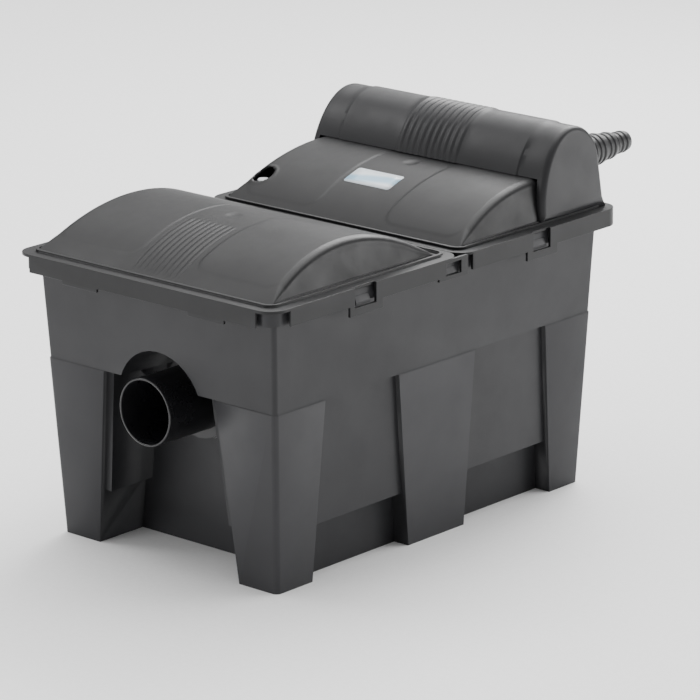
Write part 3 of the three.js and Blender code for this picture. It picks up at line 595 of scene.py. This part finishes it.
rear_rows = stations((28.8 * MM, 45 * MM, 1.7 * MM), (45 * MM, 90 * MM, 1.6 * MM),
                     (90 * MM, 138 * MM, 2.8 * MM), (138 * MM, REAR_DOME_END, 1.9 * MM))
rear_skin = bent_grid(
    COLUMNS, rear_rows, lambda a, y: dome_point(REAR_DOME, rear_relief, a, y))
for vertex in rear_skin.verts:
    away = vertex.co.xy - HOLE
    if abs(away.length - HOLE_RADIUS) < 0.9 * MM:
        vertex.co.xy = HOLE + away.normalized() * HOLE_RADIUS
inside = [f for f in rear_skin.faces
          if (f.calc_center_median().xy - HOLE).length < HOLE_RADIUS - 0.05 * MM]
bmesh.ops.delete(rear_skin, geom=inside, context="FACES")
rear_dome = piece("rear_lid_dome", rear_skin, SHADED_LID_PLASTIC, "rear_lid")
give_wall(rear_dome, 2.6 * MM)


# %% [markdown]
# ## The hood
# The hood over the lamp unit is one long arch. Its section is a quarter ellipse in
# front and a smaller one behind on a straight wall. The middle is raised above the two
# end bands, and a strip of ribs crosses it. Near each end the section shrinks along a
# quarter circle, which rounds the edge before the flat end wall closes the shape.

# %% Hood section
def section_point(turn):
    """A point of the hood's section: turn runs from 0 at the front foot to 3 behind."""
    foot = FLANGE_TOP + 0.4 * MM
    if turn <= 1.5:
        angle = math.pi - turn / 1.5 * math.pi / 2
        return Vector((
            HOOD["crest_y"] + (HOOD["crest_y"] - HOOD["front"]) * math.cos(angle),
            foot + (HOOD["top"] - foot) * math.sin(angle)))
    if turn <= 2.5:
        angle = (2.5 - turn) * math.pi / 2
        return Vector((
            HOOD["crest_y"] + (HOOD["shoulder_y"] - HOOD["crest_y"]) * math.cos(angle),
            HOOD["shoulder_z"] + (HOOD["top"] - HOOD["shoulder_z"]) * math.sin(angle)))
    drop = (turn - 2.5) / 0.5
    return Vector((
        HOOD["shoulder_y"] + (HOOD["rear"] - HOOD["shoulder_y"]) * drop,
        HOOD["shoulder_z"] + (foot - HOOD["shoulder_z"]) * drop))


def section_normal(turn):
    """The outward direction of the section at turn."""
    before, after = section_point(max(0, turn - 0.01)), section_point(min(3, turn + 0.01))
    along = (after - before).normalized()
    return Vector((-along.y, along.x))


def hood_point(across, turn):
    """A point of the hood; |across| up to 1 is the arch, 1 to 2 the rounded edge."""
    middle, outward = section_point(turn), section_normal(turn)
    side = 1 if across >= 0 else -1
    lean = (HOOD["foot"] - HOOD["head"]) / (HOOD["top"] - FLANGE_TOP)
    rounding = 7 * MM
    wall = HOOD["foot"] - lean * (middle.y - FLANGE_TOP)
    x = side * min(1.0, abs(across)) * (wall - rounding)
    lift = -1.3 * MM * smooth_step((abs(x) - 130.5 * MM) / (1.8 * MM))
    strip = smooth_step((2.3 - turn) / 0.06)
    lift += 1.2 * MM * ribs(x, 45 * MM, 9 * MM) * strip
    if abs(across) > 1:
        angle = (abs(across) - 1) * math.pi / 2
        x = side * (wall - rounding + rounding * math.sin(angle))
        lift -= rounding * (1 - math.cos(angle)) * min(1.0, (middle.y - FLANGE_TOP) / (8 * MM))
    spot = middle + outward * lift
    return Vector((x, spot.x, max(spot.y, FLANGE_TOP + 0.4 * MM)))


# %% Hood skin
edge_columns = stations(
    (-2, -1, 0.14), (-1, -0.81, 0.04), (-0.81, -0.75, 0.006), (-0.75, -0.28, 0.047))
hood_columns = mirrored(edge_columns, stations((-0.28, 0.28, 0.0062)))
hood_turns = stations((0, 0.6, 0.02), (0.6, 2.5, 0.05), (2.5, 3, 0.1))
hood_skin = bent_grid(hood_columns, hood_turns, hood_point)
ends = [e for e in hood_skin.edges if e.is_boundary
        and abs(e.verts[0].co.x - e.verts[1].co.x) < 1 * MM
        and abs(e.verts[0].co.x) > 150 * MM]
for side in (-1, 1):
    loop = [e for e in ends if e.verts[0].co.x * side > 0]
    feet = [v for e in loop for v in e.verts if v.co.z < FLANGE_TOP + 0.5 * MM]
    low, high = min(feet, key=lambda v: v.co.y), max(feet, key=lambda v: v.co.y)
    loop.append(hood_skin.edges.new((low, high)))
    bmesh.ops.contextual_create(hood_skin, geom=loop)
hood = piece("hood_moulding", hood_skin, HOOD_PLASTIC, "hood", ["uv_hood"])
give_wall(hood, 2.6 * MM)


# %% [markdown]
# ## Openings in the hood
# The hood's front wall stands on the rear dome, and its back wall has a slot that drops
# over the hose tail. Both openings are cut with a boolean, which suits a thick, closed
# shape and a simple cutter. The cutters are made from a grown dome and a slot outline,
# and they are removed afterwards.

# %% Hood openings
def cut_away(made, cutter_shape):
    """Cuts a closed cutter out of a piece and throws the cutter away."""
    bmesh.ops.recalc_face_normals(cutter_shape, faces=cutter_shape.faces)
    mesh = bpy.data.meshes.new("cutter")
    cutter_shape.to_mesh(mesh)
    cutter_shape.free()
    cutter = bpy.data.objects.new("cutter", mesh)
    bpy.context.scene.collection.objects.link(cutter)
    boolean = made.modifiers.new("opening", "BOOLEAN")
    boolean.operation = "DIFFERENCE"
    boolean.solver = "EXACT"
    boolean.object = cutter
    bake(made)
    bpy.data.objects.remove(cutter)
    return made


grown = bmesh.new()
arch = [(REAR_DOME_END + 4 * MM, 300 * MM)]
for i in range(25):
    y = REAR_DOME_END + 4 * MM - i * 7 * MM
    arch.append((y, arch_height(REAR_DOME, y) + 1.0 * MM))
arch.append((arch[-1][0], 300 * MM))
side_loops = []
for side in (-1, 1):
    corners = [grown.verts.new((
        side * (end_wall_at(z, REAR_DOME["top"]) + 0.5 * MM), y, z)) for y, z in arch]
    side_loops.append(grown.faces.new(corners))
bmesh.ops.bridge_loops(grown, edges=[e for f in side_loops for e in f.edges])
cut_away(hood, grown)

HOSE = (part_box("hose_tail")[0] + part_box("hose_tail")[1]) / 2
SLOT_X, SLOT_Y, SLOT_RADIUS, SLOT_FOOT = HOSE.x - 2 * MM, 270 * MM, 25 * MM, 300 * MM
slot_cut = bmesh.new()
lying = Matrix.Translation((SLOT_X, SLOT_Y, HOSE.z)) @ Matrix.Rotation(math.pi / 2, 4, "X")
bmesh.ops.create_cone(
    slot_cut, cap_ends=True, segments=40, radius1=SLOT_RADIUS, radius2=SLOT_RADIUS,
    depth=60 * MM, matrix=lying)
below_axis = [v for v in slot_cut.verts if v.co.z < HOSE.z - 1 * MM]
for vertex in below_axis:
    vertex.co.z = SLOT_FOOT
    vertex.co.x = SLOT_X + math.copysign(SLOT_RADIUS, vertex.co.x - SLOT_X)
bmesh.ops.remove_doubles(slot_cut, verts=slot_cut.verts, dist=0.01 * MM)
cut_away(hood, slot_cut)
print("hood faces", len(hood.data.polygons))

# %% [markdown]
# ## Pipes and turned parts
# The outlet is a plain length of 75 mm pipe with a collar inside the tub. On a lathe it
# would be one profile, and a spin does the same: the profile is drawn once as distance
# from the axis and distance along it, then spun a full turn and merged to itself. The
# lip is rounded, because a pipe mould leaves no knife edge, and that bright ring is what
# the eye finds first on the dark opening.

# %% Spin helper
def spun(profile, axis_at, along, segments=96):
    """A closed profile of (radius, position) spun round an axis through axis_at."""
    shape = bmesh.new()
    side = Vector((0, 0, 1)) if along != "Z" else Vector((1, 0, 0))
    way = {"X": Vector((1, 0, 0)), "Y": Vector((0, 1, 0)), "Z": Vector((0, 0, 1))}[along]
    ring = [shape.verts.new(axis_at + side * r + way * d) for r, d in profile]
    edges = [shape.edges.new((ring[i], ring[(i + 1) % len(ring)])) for i in range(len(ring))]
    bmesh.ops.spin(
        shape, geom=[*ring, *edges], cent=axis_at, axis=way, angle=2 * math.pi,
        steps=segments, use_merge=True)
    bmesh.ops.remove_doubles(shape, verts=shape.verts, dist=0.002 * MM)
    return shape


def rounded_end(radius_out, radius_in, at, direction, bulge):
    """Profile points of a rounded pipe lip from the outer to the inner radius."""
    middle, half = (radius_out + radius_in) / 2, (radius_out - radius_in) / 2
    return [(middle + half * math.cos(a), at - direction * bulge * (1 - math.sin(a)))
            for a in (math.pi * i / 8 for i in range(9))]


# %% Outlet pipe
pipe_low, pipe_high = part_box("outlet_pipe")
pipe_axis = Vector((0, 0, (pipe_low.z + pipe_high.z) / 2))
collar = pipe_high.x
pipe_out, pipe_in = 37.5 * MM, 35 * MM
mouth, tail, wall_inside = pipe_low.y, pipe_high.y, -181 * MM
pipe_profile = [
    *rounded_end(pipe_out, pipe_in, mouth, -1, 1.2 * MM),
    (pipe_in, tail), (pipe_out, tail), (pipe_out, wall_inside + 6 * MM),
    (collar - 0.6 * MM, wall_inside + 6 * MM), (collar, wall_inside + 5.4 * MM),
    (collar, wall_inside + 2.6 * MM), (collar - 0.6 * MM, wall_inside + 2 * MM),
    (pipe_out, wall_inside + 2 * MM),
]
piece("outlet_pipe_turned", spun(pipe_profile, pipe_axis, "Y"), PIPE_PLASTIC,
      "tub", ["outlet_pipe"])

# %% [markdown]
# ## The hose tail
# A stepped tail takes three sizes of hose. Each step carries saw-tooth barbs that let
# the hose on and hold it there. One spun profile gives all of it, and the barbs are
# built in a loop.

# %% Hose tail
hose_axis = Vector((HOSE.x, 0, HOSE.z))
hose_bore = 10.2 * MM
hose_profile = [(hose_bore, 270.4 * MM), (15.6 * MM, 270.4 * MM), (15.6 * MM, 275 * MM),
                (14.8 * MM, 275.4 * MM), (14.8 * MM, 282.4 * MM)]
BARBS, STEP_LENGTH, BARB_DEPTH = 3, 23, 1.2
for step_radius, step_start in ((18.4, 284), (15.9, 305), (12.8, 330)):
    pitch = STEP_LENGTH / BARBS
    for i in range(BARBS):
        y = step_start + i * pitch
        hose_profile += [
            ((step_radius - BARB_DEPTH) * MM, y * MM), ((step_radius - 0.3) * MM, (y + 0.7) * MM),
            (step_radius * MM, (y + 1.6) * MM), ((step_radius - 0.2) * MM, (y + 3.0) * MM),
            ((step_radius - BARB_DEPTH) * MM, (y + pitch - 0.4) * MM)]
hose_profile += [(11.0 * MM, 353.6 * MM), (11.3 * MM, 354.2 * MM), (11.0 * MM, 354.9 * MM),
                 (10.5 * MM, 354.9 * MM), (hose_bore, 354.4 * MM)]
piece("hose_tail_turned", spun(hose_profile, hose_axis, "Y", 72), BLACK_PLASTIC,
      "tub", ["hose_tail"], crease=50)

# %% [markdown]
# ## The union nut
# The nut that clamps the hose tail is turned by hand, so its rim has grips. It starts as
# a spun ring; then every third strip of its outer wall is extruded outwards and made a
# little narrower, which gives the grips without a single boolean.

# %% Union nut
nut_low, nut_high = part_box("union_nut")
nut_radius = (nut_high.x - nut_low.x) / 2
grip = 1.2 * MM
nut_profile = [
    (16.4 * MM, nut_low.y), (nut_radius - grip - 0.6 * MM, nut_low.y),
    (nut_radius - grip, nut_low.y + 0.6 * MM), (nut_radius - grip, nut_low.y + 15 * MM),
    (nut_radius - grip - 1 * MM, nut_low.y + 16 * MM), (17 * MM, nut_high.y),
    (15.4 * MM, nut_high.y), (15.4 * MM, 275.6 * MM), (16.4 * MM, 275.6 * MM),
]
nut_shape = spun(nut_profile, hose_axis, "Y", 72)


def push_out_grips(shape, centre, axis, radius, length, every):
    """Extrudes regular strips of a spun wall outwards by the grip height."""
    strips = []
    for face in shape.faces:
        middle = face.calc_center_median()
        away = middle - centre
        away = away - axis * away.dot(axis)
        long_enough = max(e.calc_length() for e in face.edges) > length
        if abs(away.length - radius) < 0.3 * MM and long_enough:
            strips.append((math.atan2(away.z, away.x), face))
    strips.sort(key=lambda s: s[0])
    chosen = [f for i, (_, f) in enumerate(strips) if i % every == 0]
    grown = bmesh.ops.extrude_discrete_faces(shape, faces=chosen)["faces"]
    for face in grown:
        bmesh.ops.translate(shape, verts=face.verts, vec=face.normal * grip * 0.9)
        bmesh.ops.scale(
            shape, verts=face.verts, vec=(0.82, 0.9, 0.82),
            space=Matrix.Translation(-face.calc_center_median()))
    return shape


nut_shape.normal_update()
bmesh.ops.recalc_face_normals(nut_shape, faces=nut_shape.faces)
push_out_grips(nut_shape, hose_axis, Vector((0, 1, 0)), nut_radius - grip, 10 * MM, 3)
piece("union_nut_grips", nut_shape, BLACK_PLASTIC, "union_nut", ["union_nut"])


# %% [markdown]
# ## The label
# A printed label sits on the middle of the rear dome. It is left without words: a pale
# plate with rounded corners and a soft wave of blue, thick enough to cast a fine edge.
# A flat grid gets its four corner vertices bevelled, is laid on the arch and thickened.

# %% Label
def label_finish():
    """Coated paper, pale with a blue wave that follows the piece's own coordinates."""
    finish, tree, shader, place = new_finish("label print")
    wave = tree.nodes.new("ShaderNodeTexWave")
    wave.bands_direction = "Y"
    wave.inputs["Scale"].default_value = 9
    wave.inputs["Distortion"].default_value = 5
    wave.inputs["Detail Scale"].default_value = 0.6
    tree.links.new(place, wave.inputs["Vector"])
    tint = remap(tree, wave.outputs["Fac"], 0.55, 0.95, 0, 0.75)
    base = mix(tree, tint, (0.78, 0.84, 0.88), (0.16, 0.42, 0.62))
    grime = remap(tree, noise(tree, place, 300, 4), 0.5, 0.8, 0, 0.18)
    tree.links.new(mix(tree, grime, base, (0.4, 0.42, 0.43)), shader.inputs["Base Color"])
    shader.inputs["Roughness"].default_value = 0.3
    shader.inputs["Coat Weight"].default_value = 0.3
    bump(tree, shader, [(noise(tree, place, 500, 2), 0.1, 0.0001)])
    return finish


LABEL_CENTRE = Vector((-10.5 * MM, 96.5 * MM))
LABEL_HALF = Vector((33.5 * MM, 14.2 * MM))
label_shape = bmesh.new()
bmesh.ops.create_grid(label_shape, x_segments=6, y_segments=4, size=1)
corners = [v for v in label_shape.verts if abs(v.co.x) > 0.99 and abs(v.co.y) > 0.99]
for vertex in label_shape.verts:
    vertex.co.x = LABEL_CENTRE.x + vertex.co.x * LABEL_HALF.x
    vertex.co.y = LABEL_CENTRE.y + vertex.co.y * LABEL_HALF.y
bmesh.ops.bevel(
    label_shape, geom=corners, offset=3.2 * MM, segments=5, profile=0.5, affect="VERTICES",
    material=-1)
for vertex in label_shape.verts:
    vertex.co.z = arch_height(REAR_DOME, vertex.co.y) + 0.35 * MM
label = piece("rear_lid_label", label_shape, label_finish(), "rear_lid")
give_wall(label, 0.45 * MM)


# %% [markdown]
# ## Filter foams
# Each foam is a cut block: its faces bulge by a hair where the knife relaxed it and its
# edges are soft. The block is a cube operator's box divided into a fine grid, bevelled
# and then nudged with a smooth noise, and the stem's hole is punched through it.

# %% Foams
def foam_block(node, finish):
    """A soft-edged foam block that fills its CAD solid, with the stem's hole."""
    low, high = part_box(node)
    middle, size = (low + high) / 2, high - low
    shape = bmesh.new()
    bmesh.ops.create_cube(shape, size=1)
    bmesh.ops.scale(shape, verts=shape.verts, vec=size - Vector((1, 1, 1)) * MM)
    bmesh.ops.bevel(
        shape, geom=shape.edges[:], offset=4 * MM, segments=3, profile=0.5, affect="EDGES",
        material=-1)
    bmesh.ops.subdivide_edges(
        shape, edges=[e for e in shape.edges if e.calc_length() > 30 * MM], cuts=13,
        use_grid_fill=True)
    bmesh.ops.translate(shape, verts=shape.verts, vec=middle)
    for vertex in shape.verts:
        push = field.noise(vertex.co * 55) * 0.9 * MM - 0.4 * MM
        vertex.co += (vertex.co - middle).normalized() * push
    made = piece(node + "_block", shape, finish, "tub", [node], crease=60)
    punch = bmesh.new()
    bmesh.ops.create_cone(
        punch, cap_ends=True, segments=32, radius1=12 * MM, radius2=12 * MM,
        depth=size.z + 20 * MM, matrix=Matrix.Translation(middle))
    cut_away(made, punch)
    return made


for side in ("left", "right"):
    foam_block("blue_foam_" + side, BLUE_FOAM)
    foam_block("red_foam_" + side, RED_FOAM)

# %% [markdown]
# ## Parts that keep their CAD shape
# Nuts, seals, grids and the lamp unit are already right, so their meshes stay as they
# are and only get their finish. The groups below say which finish goes where.

# %% Finishes for carried-over parts
CARRIED = (
    (SEAL_RUBBER, ("outlet_gasket", "drain_gasket", "drain_cap_seal", "sleeve_seal",
                   "hose_seal", "front_lid_seal")),
    (BLACK_PLASTIC, ("outlet_nut", "drain_socket", "drain_nut", "drain_cap", "uv_housing",
                     "uv_head", "cable_gland", "indicator_guide")),
    (GRID_PLASTIC, ("outlet_strainer", "foam_grid", "foam_holder_left", "foam_holder_right",
                    "separator_wall", "media_tray", "uv_bridge")),
    (RED_PLASTIC, ("bail_left", "bail_right")),
    (WHITE_PLASTIC, ("lamp_socket", "indicator_float")),
    (STRAP_STEEL, ("uv_strap_left", "uv_strap_right")),
    (QUARTZ, ("quartz_sleeve",)),
    (LAMP_GLASS, ("uv_lamp",)),
)
for finish, names in CARRIED:
    for name in names:
        for material_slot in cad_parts[name].material_slots:
            material_slot.material = finish
print("carried over", sum(len(names) for _, names in CARRIED))

# %% [markdown]
# ## Stage and light
# The filter stands on a plain pale floor. A wide soft sun from above stands for a large
# ceiling panel and gives the lids their broad gleam. The other lights are square soft
# boxes: one behind for the crests, one low in front that reaches under the arch, one at
# the left for the hood's slope and one at the right for the leaning dome ends.

# %% Floor and lights
floor_shape = bmesh.new()
bmesh.ops.create_grid(floor_shape, x_segments=8, y_segments=8, size=6)
floor_mesh = bpy.data.meshes.new("floor")
floor_shape.to_mesh(floor_mesh)
floor_shape.free()
floor = bpy.data.objects.new("floor", floor_mesh)
bpy.context.scene.collection.objects.link(floor)
floor_finish, tree, shader, place = new_finish("white floor")
mottle = noise(tree, place, 160, 3)
tree.links.new(mix(tree, mottle, (0.86, 0.86, 0.86), (0.95, 0.95, 0.95)),
               shader.inputs["Base Color"])
shader.inputs["Roughness"].default_value = 0.8
bump(tree, shader, [(mottle, 0.15, 0.001)])
floor_mesh.materials.append(floor_finish)
floor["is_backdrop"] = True

world = bpy.data.worlds.new("white room")
world.use_nodes = True
world.node_tree.nodes["Background"].inputs["Color"].default_value = (1, 1, 1, 1)
world.node_tree.nodes["Background"].inputs["Strength"].default_value = 0.55
bpy.context.scene.world = world


def soft_box(name, place, aim, size, watts):
    """A square area light at place that faces aim."""
    data = bpy.data.lights.new(name, "AREA")
    data.shape = "SQUARE"
    data.size = size
    data.energy = watts
    lamp = bpy.data.objects.new(name, data)
    lamp.location = place
    lamp.rotation_euler = (Vector(aim) - Vector(place)).to_track_quat("-Z", "Y").to_euler()
    bpy.context.scene.collection.objects.link(lamp)
    return lamp


sky_data = bpy.data.lights.new("overhead light", "SUN")
sky_data.energy = 3.9
sky_data.angle = math.radians(70)
sky = bpy.data.objects.new("overhead light", sky_data)
sky.rotation_euler = (math.radians(-22), math.radians(-8), 0)
bpy.context.scene.collection.objects.link(sky)
soft_box("back light", (-0.7, 2.0, 1.9), (0, 0, 0.3), 1.6, 60)
soft_box("front light", (-0.9, -2.9, 0.7), (0, 0, 0.15), 1.4, 26)
soft_box("left light", (-1.9, -0.8, 2.1), (0, 0, 0.3), 1.2, 20)
soft_box("right light", (2.3, 2.3, 0.75), (0, 0, 0.3), 1.3, 34)

# %% [markdown]
# ## The visual model's box
# The box of the visual model is written out as plain numbers. The visual model has
# to stay inside the box of the frame.

# %% Sizes and finish
low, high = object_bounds()
print("visual box", low, high)
